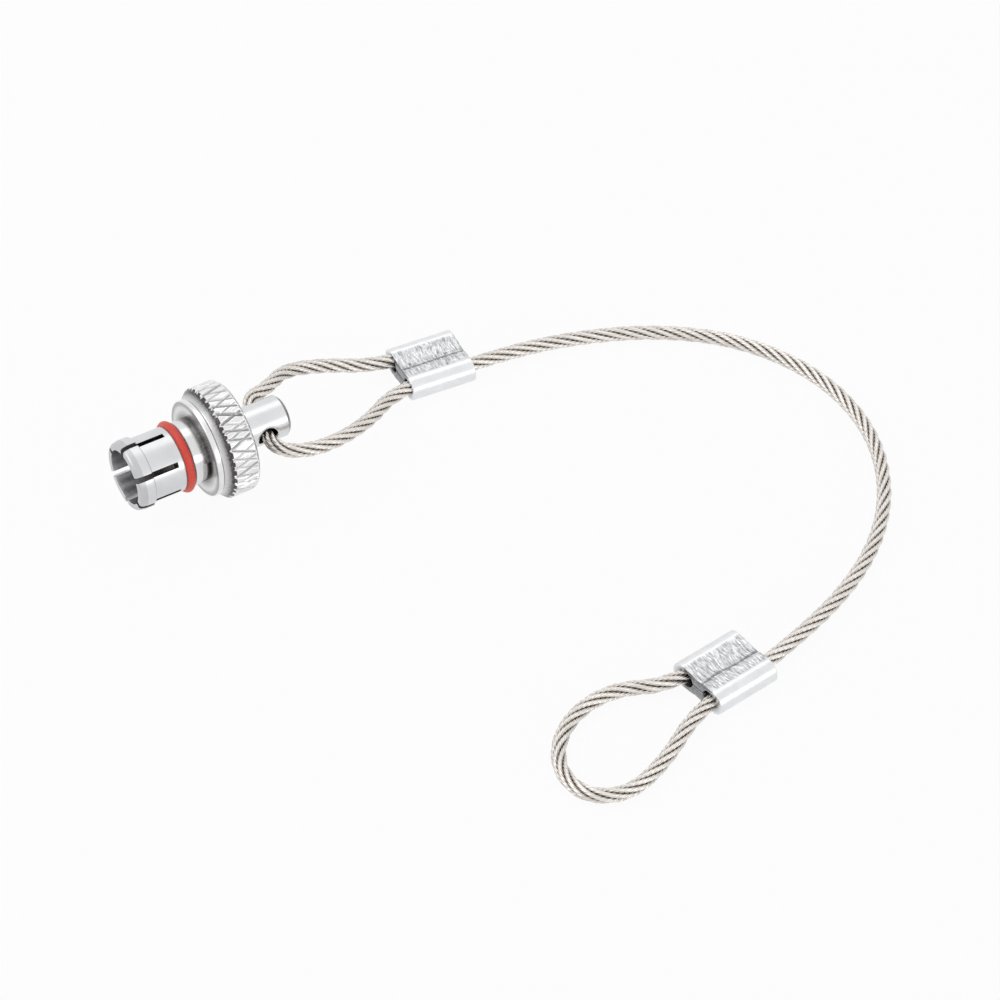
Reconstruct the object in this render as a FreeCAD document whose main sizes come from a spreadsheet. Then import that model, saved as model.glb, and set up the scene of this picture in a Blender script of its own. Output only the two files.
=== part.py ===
"""Sealing plug for a small round push-pull socket, on a captive wire-rope lanyard.

The plug lies with its axis along X, nose towards -X, on a surface at Z = 0.
Stations along the plug are measured from the rim of the nose. Millimetres throughout.
"""
import FreeCAD, Part
import math
import os
import re

import Sketcher

V = FreeCAD.Vector
doc = FreeCAD.newDocument("sealing_plug")

# ---------------------------------------------------------------- driving dimensions

DIMENSIONS = [
    # spring collet: slotted sleeve that snaps into the socket
    ("collet_radius", 3.32),
    ("collet_wall", 0.50),
    ("collet_length", 5.15),
    ("collet_floor", 0.80),
    ("rim_rise", 0.10),
    ("bead_rise", 0.28),
    ("bead_taper_length", 0.75),
    ("bead_length", 0.95),
    ("slot_width", 0.55),
    ("slot_overrun", 0.20),
    ("slot_count", 6),
    ("slot_turn", -2.0),
    ("tail_radius", 2.00),
    ("tail_length", 2.40),
    # sealing ring and its groove
    ("seal_section", 0.90),
    ("groove_spare", 0.05),
    ("groove_depth", 0.50),
    # core that carries groove, land and collet
    ("land_length", 1.65),
    ("core_boss_length", 2.00),
    ("tail_bore_spare", 0.15),
    # knurled grip with its flange
    ("grip_radius", 5.75),
    ("grip_width", 2.61),
    ("grip_chamfer", 0.28),
    ("cone_rise", 0.76),
    ("cone_length", 1.09),
    ("flange_width", 0.55),
    ("flange_round", 0.18),
    ("cavity_step", 0.15),
    ("lip_height", 0.22),
    ("lip_width", 0.35),
    # swivelling post for the lanyard
    ("post_radius", 2.13),
    ("post_reach", 5.50),
    ("post_chamfer", 0.30),
    ("head_overhang", 0.57),
    ("head_clearance", 0.15),
    ("head_length", 0.75),
    ("swivel_gap", 0.05),
    ("washer_thickness", 0.20),
    ("washer_bore_radius", 1.00),
    ("rope_hole_clearance", 0.30),
    ("rope_hole_inset", 2.60),
    ("rope_hole_round", 0.25),
    ("post_turn", 12.0),
    # lanyard
    ("rope_diameter", 1.50),
    ("ferrule_length", 7.00),
    ("ferrule_width", 7.00),
    ("ferrule_wall", 0.60),
    ("ferrule_mouth_depth", 0.90),
    ("ferrule_mouth_height", 0.45),
]

sheet = doc.addObject("Spreadsheet::Sheet", "sizes")
for row, (alias, value) in enumerate(DIMENSIONS, start=1):
    sheet.set("A%d" % row, alias)
    sheet.set("B%d" % row, str(value))
    sheet.setAlias("B%d" % row, alias)
doc.recompute()

# Radii, each one an expression of the driving dimensions
GROOVE_FLOOR = "(collet_radius - groove_depth)"
HEAD_RADIUS = "(post_radius + head_overhang)"
CAVITY_RADIUS = f"({HEAD_RADIUS} + head_clearance)"
BOSS_RADIUS = f"({CAVITY_RADIUS} + cavity_step)"
SWIVEL_BORE = "(post_radius + swivel_gap)"
FLANGE_RADIUS = "(grip_radius - cone_rise)"
ROPE_HOLE_RADIUS = "(rope_diameter / 2 + rope_hole_clearance)"

# Stations from the nose rim
BEAD_BACK = "(bead_taper_length + bead_length)"
CUP_FLOOR = "(collet_length - collet_floor)"
TAIL_BACK = "(collet_length + tail_length)"
GROOVE_BACK = "(collet_length + seal_section + groove_spare)"
FLANGE_FRONT = f"({GROOVE_BACK} + land_length)"
FLANGE_BACK = f"({FLANGE_FRONT} + flange_width)"
GRIP_FRONT = f"({FLANGE_BACK} + cone_length)"
GRIP_BACK = f"({GRIP_FRONT} + grip_width)"
BOSS_BACK = f"({FLANGE_FRONT} + core_boss_length)"
WASHER_BACK = f"({BOSS_BACK} + washer_thickness)"
HEAD_FRONT = f"({WASHER_BACK} + swivel_gap)"
HEAD_BACK = f"({HEAD_FRONT} + head_length)"
CAVITY_BACK = f"({HEAD_BACK} + swivel_gap)"
POST_BACK = f"({GRIP_BACK} + post_reach)"
HOLE_STATION = f"({POST_BACK} - rope_hole_inset)"


def size(alias):
    """Value of one driving dimension, for the shapes that are set in code."""
    return float(sheet.get(alias))


def bound(text):
    """The same expression, with each driving dimension read from the sheet."""
    return re.sub(r"[a-z_]+", lambda found: "sizes." + found.group(), text)


def number(text):
    """Value of an expression of the driving dimensions."""
    probe = doc.addObject("App::FeaturePython", "probe")
    probe.addProperty("App::PropertyFloat", "Value")
    probe.setExpression("Value", bound(text))
    probe.recompute()
    value = probe.Value
    doc.removeObject(probe.Name)
    return value


# ---------------------------------------------------------------- building helpers

def set_place(thing, turn="0"):
    """Put a sub-part on the plug axis: rim of the nose at -X, grip resting on Z = 0."""
    thing.setExpression("Placement.Base.x", bound("0 - " + POST_BACK + " / 2"))
    thing.setExpression("Placement.Base.z", bound("grip_radius"))
    thing.setExpression("Placement.Rotation.Axis.x", "1")
    thing.setExpression("Placement.Rotation.Axis.y", "0")
    thing.setExpression("Placement.Rotation.Axis.z", "0")
    thing.setExpression("Placement.Rotation.Angle", bound(turn))


def new_body(label):
    body = doc.addObject("PartDesign::Body", label)
    body.Label = label
    return body


def origin_plane(body, role):
    return [item for item in body.Origin.OriginFeatures if item.Role == role][0]


def sketch_on(body, name, role):
    sketch = body.newObject("Sketcher::SketchObject", name)
    sketch.AttachmentSupport = (origin_plane(body, role), [""])
    sketch.MapMode = "FlatFace"
    return sketch


def closed_outline(sketch, corners):
    """Closed chain of lines; each corner is a pair of expressions (across, up)."""
    values = [(number(across), number(up)) for across, up in corners]
    count = len(values)
    for index in range(count):
        start = values[index]
        end = values[(index + 1) % count]
        sketch.addGeometry(Part.LineSegment(V(start[0], start[1], 0), V(end[0], end[1], 0)), False)
    for index in range(count):
        sketch.addConstraint(Sketcher.Constraint("Coincident", index, 2, (index + 1) % count, 1))
    for index, (across, up) in enumerate(corners):
        for kind, text, value in (("DistanceX", across, values[index][0]),
                                  ("DistanceY", up, values[index][1])):
            if value == 0:
                axis = -1 if kind == "DistanceY" else -2
                sketch.addConstraint(Sketcher.Constraint("PointOnObject", index, 1, axis))
                continue
            place = sketch.addConstraint(Sketcher.Constraint(kind, -1, 1, index, 1, value))
            sketch.renameConstraint(place, "%s_%d" % (kind, index))
            sketch.setExpression("Constraints.%s_%d" % (kind, index), bound(text))
    return sketch


def turned(label, corners, turn="0"):
    """A turned piece: an outline of (station, radius) corners revolved about the plug axis."""
    body = new_body(label)
    outline = closed_outline(sketch_on(body, label + "_outline", "XZ_Plane"), corners)
    revolution = body.newObject("PartDesign::Revolution", label + "_turning")
    revolution.Profile = outline
    revolution.ReferenceAxis = (outline, ["H_Axis"])
    revolution.Angle = 360.0
    set_place(body, turn)
    doc.recompute()
    return body


def rounded(body, name, radius, wanted):
    """Fillet every edge of the body's present tip for which wanted(edge) is true."""
    tip = body.Tip
    names = ["Edge%d" % (index + 1) for index, edge in enumerate(tip.Shape.Edges) if wanted(edge)]
    if not names:
        raise RuntimeError(name + " found no edge")
    fillet = body.newObject("PartDesign::Fillet", name)
    fillet.Base = (tip, names)
    fillet.setExpression("Radius", bound(radius))
    doc.recompute()
    return fillet


# ---------------------------------------------------------------- spring collet
# A thin cup with a snap bead round its mouth, slit lengthwise into spring fingers.
# Its tail is pressed into the core.

collet = turned("spring_collet", [
    ("0", "collet_radius - collet_wall"),
    ("0", "collet_radius + rim_rise"),
    ("bead_taper_length", "collet_radius + bead_rise"),
    (BEAD_BACK, "collet_radius + bead_rise"),
    (BEAD_BACK, "collet_radius"),
    ("collet_length", "collet_radius"),
    ("collet_length", "tail_radius"),
    (TAIL_BACK, "tail_radius"),
    (TAIL_BACK, "0"),
    (CUP_FLOOR, "0"),
    (CUP_FLOOR, "collet_radius - collet_wall"),
])
uncut_volume = collet.Shape.Volume
slot_sketch = closed_outline(sketch_on(collet, "slot_outline", "YZ_Plane"), [
    ("0 - slot_width / 2", "collet_radius - 1.5 * collet_wall"),
    ("slot_width / 2", "collet_radius - 1.5 * collet_wall"),
    ("slot_width / 2", "collet_radius + 2 * bead_rise"),
    ("0 - slot_width / 2", "collet_radius + 2 * bead_rise"),
])
slot = collet.newObject("PartDesign::Pocket", "slot")
slot.Profile = slot_sketch
slot.Type = "Length"
slot.Reversed = True
slot.setExpression("Length", bound(CUP_FLOOR + " + slot_overrun"))
doc.recompute()
slots = collet.newObject("PartDesign::PolarPattern", "slots")
slots.Originals = [slot]
slots.Axis = (origin_plane(collet, "X_Axis"), [""])
slots.Angle = 360.0
slots.setExpression("Occurrences", bound("slot_count"))
collet.Tip = slots
collet.setExpression("Placement.Rotation.Angle", bound("slot_turn"))
doc.recompute()
if collet.Shape.Volume > uncut_volume - 0.5 * size("slot_count") * size("slot_width"):
    raise RuntimeError("the collet slots cut nothing")

# ---------------------------------------------------------------- core with its seal
# The core closes the plug. The groove for the sealing ring is between the collet's
# base and the land, and the boss is pressed into the grip.

core = turned("sealing_core", [
    ("collet_length", "tail_radius"),
    ("collet_length", GROOVE_FLOOR),
    (GROOVE_BACK, GROOVE_FLOOR),
    (GROOVE_BACK, "collet_radius"),
    (FLANGE_FRONT, "collet_radius"),
    (FLANGE_FRONT, BOSS_RADIUS),
    (BOSS_BACK, BOSS_RADIUS),
    (BOSS_BACK, "0"),
    (TAIL_BACK + " + tail_bore_spare", "0"),
    (TAIL_BACK + " + tail_bore_spare", "tail_radius"),
])

seal = doc.addObject("Part::Torus", "o_ring")
seal.Label = "o_ring"
seal.setExpression("Radius1", bound(GROOVE_FLOOR + " + seal_section / 2"))
seal.setExpression("Radius2", bound("seal_section / 2"))
seal.setExpression("Placement.Base.x",
                   bound(f"(collet_length + {GROOVE_BACK}) / 2 - {POST_BACK} / 2"))
seal.setExpression("Placement.Base.z", bound("grip_radius"))
seal.setExpression("Placement.Rotation.Axis.x", "0")
seal.setExpression("Placement.Rotation.Axis.y", "1")
seal.setExpression("Placement.Rotation.Axis.z", "0")
seal.setExpression("Placement.Rotation.Angle", "90")

# ---------------------------------------------------------------- knurled grip
# Flange, cone and knurled band turned in one piece, bored from the front for the
# core's boss and the head of the post. A small lip guards the gap round the post.

grip = turned("knurled_grip", [
    (FLANGE_FRONT, BOSS_RADIUS),
    (FLANGE_FRONT, FLANGE_RADIUS),
    (FLANGE_BACK, FLANGE_RADIUS),
    (GRIP_FRONT, "grip_radius"),
    (GRIP_BACK + " - grip_chamfer", "grip_radius"),
    (GRIP_BACK, "grip_radius - grip_chamfer"),
    (GRIP_BACK, SWIVEL_BORE + " + lip_width"),
    (GRIP_BACK + " + lip_height", SWIVEL_BORE + " + lip_width - lip_height"),
    (GRIP_BACK + " + lip_height", SWIVEL_BORE),
    (CAVITY_BACK, SWIVEL_BORE),
    (CAVITY_BACK, CAVITY_RADIUS),
    (BOSS_BACK, CAVITY_RADIUS),
    (BOSS_BACK, BOSS_RADIUS),
])
flange_front = number(FLANGE_FRONT)
flange_radius = number(FLANGE_RADIUS)
rounded(grip, "flange_rounding", "flange_round",
        lambda edge: abs(edge.BoundBox.XMin - flange_front) < 1e-4
        and edge.BoundBox.XLength < 1e-4
        and abs(edge.BoundBox.ZMax - flange_radius) < 1e-3)

# ---------------------------------------------------------------- swivelling post
# The head turns in the grip's cavity behind a plastic washer. The cross-hole takes
# the rope, and its mouths are rounded so that the rope doesn't chafe.

washer = turned("swivel_washer", [
    (BOSS_BACK, "washer_bore_radius"),
    (BOSS_BACK, HEAD_RADIUS),
    (WASHER_BACK, HEAD_RADIUS),
    (WASHER_BACK, "washer_bore_radius"),
])

post = turned("lanyard_post", [
    (HEAD_FRONT, "0"),
    (HEAD_FRONT, HEAD_RADIUS),
    (HEAD_BACK, HEAD_RADIUS),
    (HEAD_BACK, "post_radius"),
    (POST_BACK + " - post_chamfer", "post_radius"),
    (POST_BACK, "post_radius - post_chamfer"),
    (POST_BACK, "0"),
], turn="post_turn")
plain_volume = post.Shape.Volume
hole_station = number(HOLE_STATION)
hole_radius = number(ROPE_HOLE_RADIUS)
hole_sketch = sketch_on(post, "rope_hole_outline", "XZ_Plane")
hole_sketch.addGeometry(Part.Circle(V(hole_station, 0, 0), V(0, 0, 1), hole_radius), False)
hole_sketch.addConstraint(Sketcher.Constraint("PointOnObject", 0, 3, -1))
station = hole_sketch.addConstraint(Sketcher.Constraint("DistanceX", -1, 1, 0, 3, hole_station))
hole_sketch.renameConstraint(station, "station")
hole_sketch.setExpression("Constraints.station", bound(HOLE_STATION))
radius = hole_sketch.addConstraint(Sketcher.Constraint("Radius", 0, hole_radius))
hole_sketch.renameConstraint(radius, "radius")
hole_sketch.setExpression("Constraints.radius", bound(ROPE_HOLE_RADIUS))
hole = post.newObject("PartDesign::Pocket", "rope_hole")
hole.Profile = hole_sketch
hole.Type = "ThroughAll"
hole.Midplane = True
doc.recompute()
if post.Shape.Volume > plain_volume - hole_radius ** 2 * size("post_radius"):
    raise RuntimeError("the rope hole cut nothing")
rounded(post, "hole_rounding", "rope_hole_round",
        lambda edge: edge.BoundBox.XMin > hole_station - hole_radius - 0.01
        and edge.BoundBox.XMax < hole_station + hole_radius + 0.01
        and edge.BoundBox.ZLength > 1.9 * hole_radius
        and edge.BoundBox.YLength > 0.01)

# ---------------------------------------------------------------- wire rope
# One length of rope. From its first dead end in the plug-end ferrule it runs to the
# post, through the cross-hole, back through that ferrule, round to the loop-end
# ferrule, round the eye and back to its second dead end.

ROUTE = [
    (30.7, 4.05, 1.35), (22.6, 5.2, 1.6), (17.2, 6.6, 3.2), (12.4, 6.4, 4.9), (9.3, 3.9, 6.0),
    (6.15, 3.0, 6.39), (6.15, -3.4, 5.03), (8.4, -4.8, 4.7), (12.3, -4.5, 3.9), (17.3, -2.4, 2.7),
    (22.1, 1.1, 1.55), (32.4, 0.85, 1.3), (41.1, -0.4, 1.0), (50.0, -4.0, 0.85), (57.0, -10.1, 0.82),
    (60.9, -19.1, 0.8), (60.3, -29.0, 0.82), (55.2, -38.2, 0.85), (46.7, -44.9, 1.0),
    (34.4, -49.4, 1.35), (24.5, -51.1, 1.3), (18.6, -54.8, 1.0), (13.6, -56.5, 0.85),
    (9.9, -54.6, 0.8), (9.5, -50.6, 0.8), (11.7, -47.1, 0.82), (15.4, -45.0, 0.9),
    (19.6, -44.9, 1.1), (24.0, -47.4, 1.35), (32.2, -46.65, 1.35),
]
ARC_SHARE = 0.45
# The post and the middle of its cross-hole as the listed points have them, and the height
# at which the rope leaves the surface. When a size of the plug changes, the lanyard moves
# with the hole, and its raised points keep their distance from the post.
LISTED_HOLE = V(6.15, 0, 5.75)
LISTED_POST_RADIUS = 2.13
RISE_FROM = 1.6
hole_middle = V(hole_station - number(POST_BACK) / 2, 0, size("grip_radius"))
shift = hole_middle - LISTED_HOLE
spread = size("post_radius") - LISTED_POST_RADIUS


def placed(point):
    """A listed point, moved with the post; only a raised point takes up height and spread."""
    across, along, height = point
    rise = max(0, height - RISE_FROM) / (LISTED_HOLE.z - RISE_FROM)
    return V(across + shift.x, along + rise * math.copysign(spread, along), height + rise * shift.z)


def rope_path(points):
    """Straight runs joined by tangent arcs, each as large as its two runs allow."""
    corners = [placed(point) for point in points]
    edges = []
    radii = []
    leave = corners[0]
    for index in range(1, len(corners) - 1):
        corner = corners[index]
        back = corners[index - 1] - corner
        ahead = corners[index + 1] - corner
        reach = ARC_SHARE * min(back.Length, ahead.Length)
        half_turn = (math.pi - back.getAngle(ahead)) / 2
        radii.append(reach / math.tan(half_turn))
        back.normalize()
        ahead.normalize()
        arc_start = corner + back * reach
        arc_end = corner + ahead * reach
        inward = (back + ahead).normalize()
        depth = radii[-1] / math.cos(half_turn) - radii[-1]
        edges.append(Part.LineSegment(leave, arc_start).toShape())
        edges.append(Part.Arc(arc_start, corner + inward * depth, arc_end).toShape())
        leave = arc_end
    edges.append(Part.LineSegment(leave, corners[-1]).toShape())
    return Part.Wire(edges), radii


path, bend_radii = rope_path(ROUTE)
rope_radius = size("rope_diameter") / 2
rope_end = placed(ROUTE[0])
first_run = placed(ROUTE[1]) - rope_end
section = Part.Face(Part.Wire(Part.makeCircle(rope_radius, rope_end, first_run)))
rope = doc.addObject("Part::Feature", "wire_rope")
rope.Label = "wire_rope"
rope.Shape = path.makePipe(section)
expected_volume = math.pi * rope_radius ** 2 * path.Length
print("rope length %.1f mm" % path.Length)
print("bend radii mm: " + ", ".join("%.1f" % radius for radius in bend_radii))
print("rope volume %.2f of %.2f mm3" % (rope.Shape.Volume, expected_volume))
if abs(rope.Shape.Volume - expected_volume) > 0.01 * expected_volume:
    raise RuntimeError("the rope's volume is wrong")

# ---------------------------------------------------------------- ferrules
# Oval sleeves pressed flat over two legs of the rope, so the metal has flowed round
# them. A shallow mouth is left between the legs on the side of each eye.

FERRULES = {
    "ferrule_plug_end": (27.35, 2.85, -5.5),
    "ferrule_loop_end": (29.2, -48.55, 7.5),
}


def pressed_ferrule(label, centre_x, centre_y, heading):
    length = size("ferrule_length")
    width = size("ferrule_width")
    height = size("rope_diameter") + 2 * size("ferrule_wall")
    flat = width / 2 - height / 2
    outline = Part.Wire([
        Part.LineSegment(V(0, -flat, 0), V(0, flat, 0)).toShape(),
        Part.Arc(V(0, flat, 0), V(0, width / 2, height / 2), V(0, flat, height)).toShape(),
        Part.LineSegment(V(0, flat, height), V(0, -flat, height)).toShape(),
        Part.Arc(V(0, -flat, height), V(0, -width / 2, height / 2), V(0, -flat, 0)).toShape(),
    ])
    blank = Part.Face(outline).extrude(V(length, 0, 0))
    blank.translate(V(-length / 2, 0, 0))
    depth = size("ferrule_mouth_depth")
    gap = size("ferrule_mouth_height")
    mouth = Part.makeBox(2 * depth, 2 * flat, gap, V(-length / 2 - depth, -flat, (height - gap) / 2))
    blank = blank.cut(mouth)
    centre = V(centre_x + shift.x, centre_y, 0)
    place = FreeCAD.Placement(centre, FreeCAD.Rotation(V(0, 0, 1), heading))
    blank.Placement = place
    pressed = blank.cut(rope.Shape)
    pressed = pressed.transformed(place.inverse().toMatrix(), True)
    ferrule = doc.addObject("Part::Feature", label)
    ferrule.Label = label
    ferrule.Shape = pressed
    ferrule.Placement = place
    return ferrule


ferrules = [pressed_ferrule(label, *place) for label, place in FERRULES.items()]

# ---------------------------------------------------------------- check and write

doc.recompute()
for item in doc.Objects:
    if "Invalid" in item.State or "Error" in item.State:
        raise RuntimeError("%s failed: %s" % (item.Name, item.State))

SUBPARTS = [collet, core, seal, grip, washer, post, rope] + ferrules
os.makedirs("parts", exist_ok=True)
for item in SUBPARTS:
    shape = item.Shape
    if shape.isNull() or not shape.isValid() or len(shape.Solids) != 1:
        raise RuntimeError("%s is not one valid solid" % item.Label)
    box = shape.BoundBox
    print("%-18s %8.2f mm3  x %6.2f..%6.2f  y %6.2f..%6.2f  z %5.2f..%5.2f" % (
        item.Label, shape.Volume, box.XMin, box.XMax, box.YMin, box.YMax, box.ZMin, box.ZMax))
for item in SUBPARTS:
    item.Shape.exportStep("parts/%s.step" % item.Label)
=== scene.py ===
import math

import bmesh
import bpy
from mathutils import Matrix, Vector, noise


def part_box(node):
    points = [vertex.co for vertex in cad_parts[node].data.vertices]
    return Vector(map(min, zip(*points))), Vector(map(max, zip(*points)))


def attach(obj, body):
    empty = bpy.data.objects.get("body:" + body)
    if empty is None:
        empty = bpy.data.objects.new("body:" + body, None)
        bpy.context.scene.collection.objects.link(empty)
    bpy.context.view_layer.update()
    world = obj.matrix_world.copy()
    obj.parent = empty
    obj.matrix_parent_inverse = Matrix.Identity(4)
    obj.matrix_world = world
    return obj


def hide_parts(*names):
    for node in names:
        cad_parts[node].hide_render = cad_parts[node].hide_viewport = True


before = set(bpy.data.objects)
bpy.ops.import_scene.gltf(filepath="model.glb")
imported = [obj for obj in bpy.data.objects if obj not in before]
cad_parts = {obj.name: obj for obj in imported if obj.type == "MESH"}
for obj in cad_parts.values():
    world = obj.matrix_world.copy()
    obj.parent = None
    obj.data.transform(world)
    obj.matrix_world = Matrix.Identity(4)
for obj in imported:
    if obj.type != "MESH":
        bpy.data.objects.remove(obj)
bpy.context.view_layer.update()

# ---------------------------------------------------------------- sealing core
# The middle of the plug, turned from brass bar and plated with satin nickel. Its groove
# holds the sealing ring, the land behind it fills the socket's mouth, and its boss is
# pressed into the grip. A short relief is milled in the land's back edge.

MM = 0.001
core_low, core_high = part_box("sealing_core")
grip_low, grip_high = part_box("knurled_grip")
ring_low, ring_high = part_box("o_ring")
axis_height = (core_low.z + core_high.z) / 2
land_radius = (core_high.z - core_low.z) / 2
groove_depth = 0.5 * MM
seal_spare = 0.025 * MM
land_ease = 0.07 * MM
relief_depth = 0.13 * MM
relief_width = 0.85 * MM
relief_from, relief_to = math.radians(166), math.radians(236)
boss_radius = 3.0 * MM
tail_radius = 2.0 * MM
tail_bore_depth = 2.55 * MM
groove_back = ring_high.x + seal_spare


def eased(corners, steps=4):
    """Points of a closed outline of (station, radius, ease) corners, each eased by an arc."""
    points = []
    for index, (station, radius, ease) in enumerate(corners):
        here = Vector((station, radius))
        if ease == 0:
            points.append(here)
            continue
        back = Vector(corners[index - 1][:2]) - here
        ahead = Vector(corners[(index + 1) % len(corners)][:2]) - here
        room = 0.48 * min(back.length, ahead.length)
        back.normalize()
        ahead.normalize()
        half = math.acos(max(-1, min(1, back.dot(ahead)))) / 2
        reach = min(ease / math.tan(half), room)
        size = reach * math.tan(half)
        centre = here + (back + ahead).normalized() * reach / math.cos(half)
        first = here + back * reach - centre
        last = here + ahead * reach - centre
        start = math.atan2(first.y, first.x)
        swing = math.remainder(math.atan2(last.y, last.x) - start, math.tau)
        for step in range(steps + 1):
            turn = start + swing * step / steps
            points.append(centre + Vector((math.cos(turn), math.sin(turn))) * size)
    return points


def new_piece(name, verts, faces):
    """An object of this mesh, welded, facing outwards and smooth."""
    mesh = bpy.data.meshes.new(name)
    work = bmesh.new()
    made = [work.verts.new(place) for place in verts]
    for face in faces:
        work.faces.new([made[index] for index in face])
    bmesh.ops.remove_doubles(work, verts=work.verts, dist=1e-7)
    loose = [vert for vert in work.verts if not vert.link_faces]
    bmesh.ops.delete(work, geom=loose, context="VERTS")
    bmesh.ops.recalc_face_normals(work, faces=work.faces)
    work.to_mesh(mesh)
    work.free()
    mesh.shade_smooth()
    piece = bpy.data.objects.new(name, mesh)
    bpy.context.scene.collection.objects.link(piece)
    return piece


def from_axis(place):
    """How far a place is from the plug's axis."""
    return math.hypot(place.z - axis_height, place.y)


def turn_of(place):
    """How far a place is turned round the plug's axis, from +Y towards +Z."""
    return math.atan2(place.z - axis_height, place.y)


def mark_recesses(piece, depth_at, of_faces=False):
    """Store how strongly each point or face is darkened by painted shade, from 0 for none to 1."""
    parts = piece.data.polygons if of_faces else piece.data.vertices
    layer = piece.data.attributes.new("recess", "FLOAT", "FACE" if of_faces else "POINT")
    for index, part in enumerate(parts):
        place = part.center if of_faces else part.co
        layer.data[index].value = max(0, min(1, depth_at(place)))


def even_shading(piece, crease=40):
    """Keep flats flat beside their eased edges, and real corners crisp."""
    piece.data.set_sharp_from_angle(angle=math.radians(crease))
    weighted = piece.modifiers.new("even_shading", "WEIGHTED_NORMAL")
    weighted.keep_sharp = True
    weighted.weight = 80


def on_plug(station, radius, turn):
    """A point at this station and radius, turned this far from +Y towards +Z."""
    return Vector((station, radius * math.cos(turn), axis_height + radius * math.sin(turn)))


def turned(name, outline, around=180):
    """A turned piece: a closed outline of (station, radius) points swept round the axis."""
    verts = []
    faces = []
    count = len(outline)
    for step in range(around):
        turn = math.tau * step / around
        verts += [on_plug(station, radius, turn) for station, radius in outline]
    for step in range(around):
        this, after = step * count, (step + 1) % around * count
        for index in range(count):
            ahead = (index + 1) % count
            faces.append((this + index, this + ahead, after + ahead, after + index))
    return new_piece(name, verts, faces)


def maths(nodes, links, kind, first, second=None):
    """A Math node fed by sockets or numbers."""
    node = nodes.new("ShaderNodeMath")
    node.operation = kind
    for socket, value in zip(node.inputs, (first, second)):
        if isinstance(value, (int, float)):
            socket.default_value = value
        elif value is not None:
            links.new(value, socket)
    return node.outputs[0]


def in_millimetres(nodes, links):
    """The piece's own coordinates, in millimetres."""
    place = nodes.new("ShaderNodeTexCoord")
    scaled = nodes.new("ShaderNodeVectorMath")
    scaled.operation = "SCALE"
    scaled.inputs["Scale"].default_value = 1000
    links.new(place.outputs["Object"], scaled.inputs[0])
    return scaled.outputs[0]


def speckle(nodes, links, vector, scale, detail=2):
    """A noise texture's value."""
    texture = nodes.new("ShaderNodeTexNoise")
    texture.inputs["Detail"].default_value = detail
    texture.inputs["Scale"].default_value = scale
    links.new(vector, texture.inputs["Vector"])
    return texture.outputs[0]


def turning_marks():
    """Shader group: the lathe's fine rings, a soft unevenness of the plating, and its grain."""
    group = bpy.data.node_groups.new("turning_marks", "ShaderNodeTree")
    group.interface.new_socket("Axis Height", in_out="INPUT", socket_type="NodeSocketFloat")
    for name in ("Rings", "Patches", "Grain"):
        group.interface.new_socket(name, in_out="OUTPUT", socket_type="NodeSocketFloat")
    nodes, links = group.nodes, group.links
    given = nodes.new("NodeGroupInput")
    result = nodes.new("NodeGroupOutput")
    place = in_millimetres(nodes, links)
    parts = nodes.new("ShaderNodeSeparateXYZ")
    links.new(place, parts.inputs[0])
    side = parts.outputs["Y"]
    rise = maths(nodes, links, "SUBTRACT", parts.outputs["Z"], given.outputs["Axis Height"])
    squares = maths(nodes, links, "ADD", maths(nodes, links, "MULTIPLY", rise, rise),
                    maths(nodes, links, "MULTIPLY", side, side))
    turn = maths(nodes, links, "ARCTAN2", rise, side)
    along = nodes.new("ShaderNodeCombineXYZ")
    links.new(parts.outputs["X"], along.inputs[0])
    links.new(maths(nodes, links, "SQRT", squares), along.inputs[1])
    links.new(maths(nodes, links, "MULTIPLY", turn, 0.05), along.inputs[2])
    links.new(speckle(nodes, links, along.outputs[0], 9, detail=3), result.inputs["Rings"])
    links.new(speckle(nodes, links, place, 0.5, detail=4), result.inputs["Patches"])
    links.new(speckle(nodes, links, place, 26), result.inputs["Grain"])
    return group


def corner_shade():
    """Shader group: painted shade in the recesses, broken up unevenly by noise at its edge."""
    group = bpy.data.node_groups.new("corner_shade", "ShaderNodeTree")
    group.interface.new_socket("Scale", in_out="INPUT", socket_type="NodeSocketFloat")
    group.interface.new_socket("Shade", in_out="OUTPUT", socket_type="NodeSocketFloat")
    nodes, links = group.nodes, group.links
    given = nodes.new("NodeGroupInput")
    result = nodes.new("NodeGroupOutput")
    depth = nodes.new("ShaderNodeAttribute")
    depth.attribute_name = "recess"
    rough = speckle(nodes, links, in_millimetres(nodes, links), 5, detail=3)
    links.new(given.outputs["Scale"], nodes[-1].inputs["Scale"])
    # noise breaks up the edge of the painted shade
    uneven = maths(nodes, links, "MULTIPLY", maths(nodes, links, "SUBTRACT", rough, 0.5), 0.7)
    broken_up = maths(nodes, links, "ADD", uneven, 1)
    shade = maths(nodes, links, "MULTIPLY", depth.outputs["Fac"], broken_up)
    shade.node.use_clamp = True
    links.new(shade, result.inputs["Shade"])
    return group


def spread(nodes, links, source, low, high):
    """The middle of a noise's range, mapped to this one."""
    node = nodes.new("ShaderNodeMapRange")
    links.new(source, node.inputs["Value"])
    node.inputs["From Min"].default_value = 0.3
    node.inputs["From Max"].default_value = 0.7
    node.inputs["To Min"].default_value = low
    node.inputs["To Max"].default_value = high
    return node.outputs[0]


def blank_material(name):
    """A new material, its nodes and links, and its shader."""
    material = bpy.data.materials.new(name)
    material.use_nodes = True
    nodes, links = material.node_tree.nodes, material.node_tree.links
    return material, nodes, links, nodes["Principled BSDF"]


def two_tones(nodes, links, mask, first, second):
    """A colour that goes from the first to the second with the mask; either may be a socket."""
    tone = nodes.new("ShaderNodeMix")
    tone.data_type = "RGBA"
    for name, colour in (("A", first), ("B", second)):
        if isinstance(colour, tuple):
            tone.inputs[name].default_value = (*colour, 1)
        else:
            links.new(colour, tone.inputs[name])
    links.new(mask, tone.inputs["Factor"])
    return tone.outputs["Result"]


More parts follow.
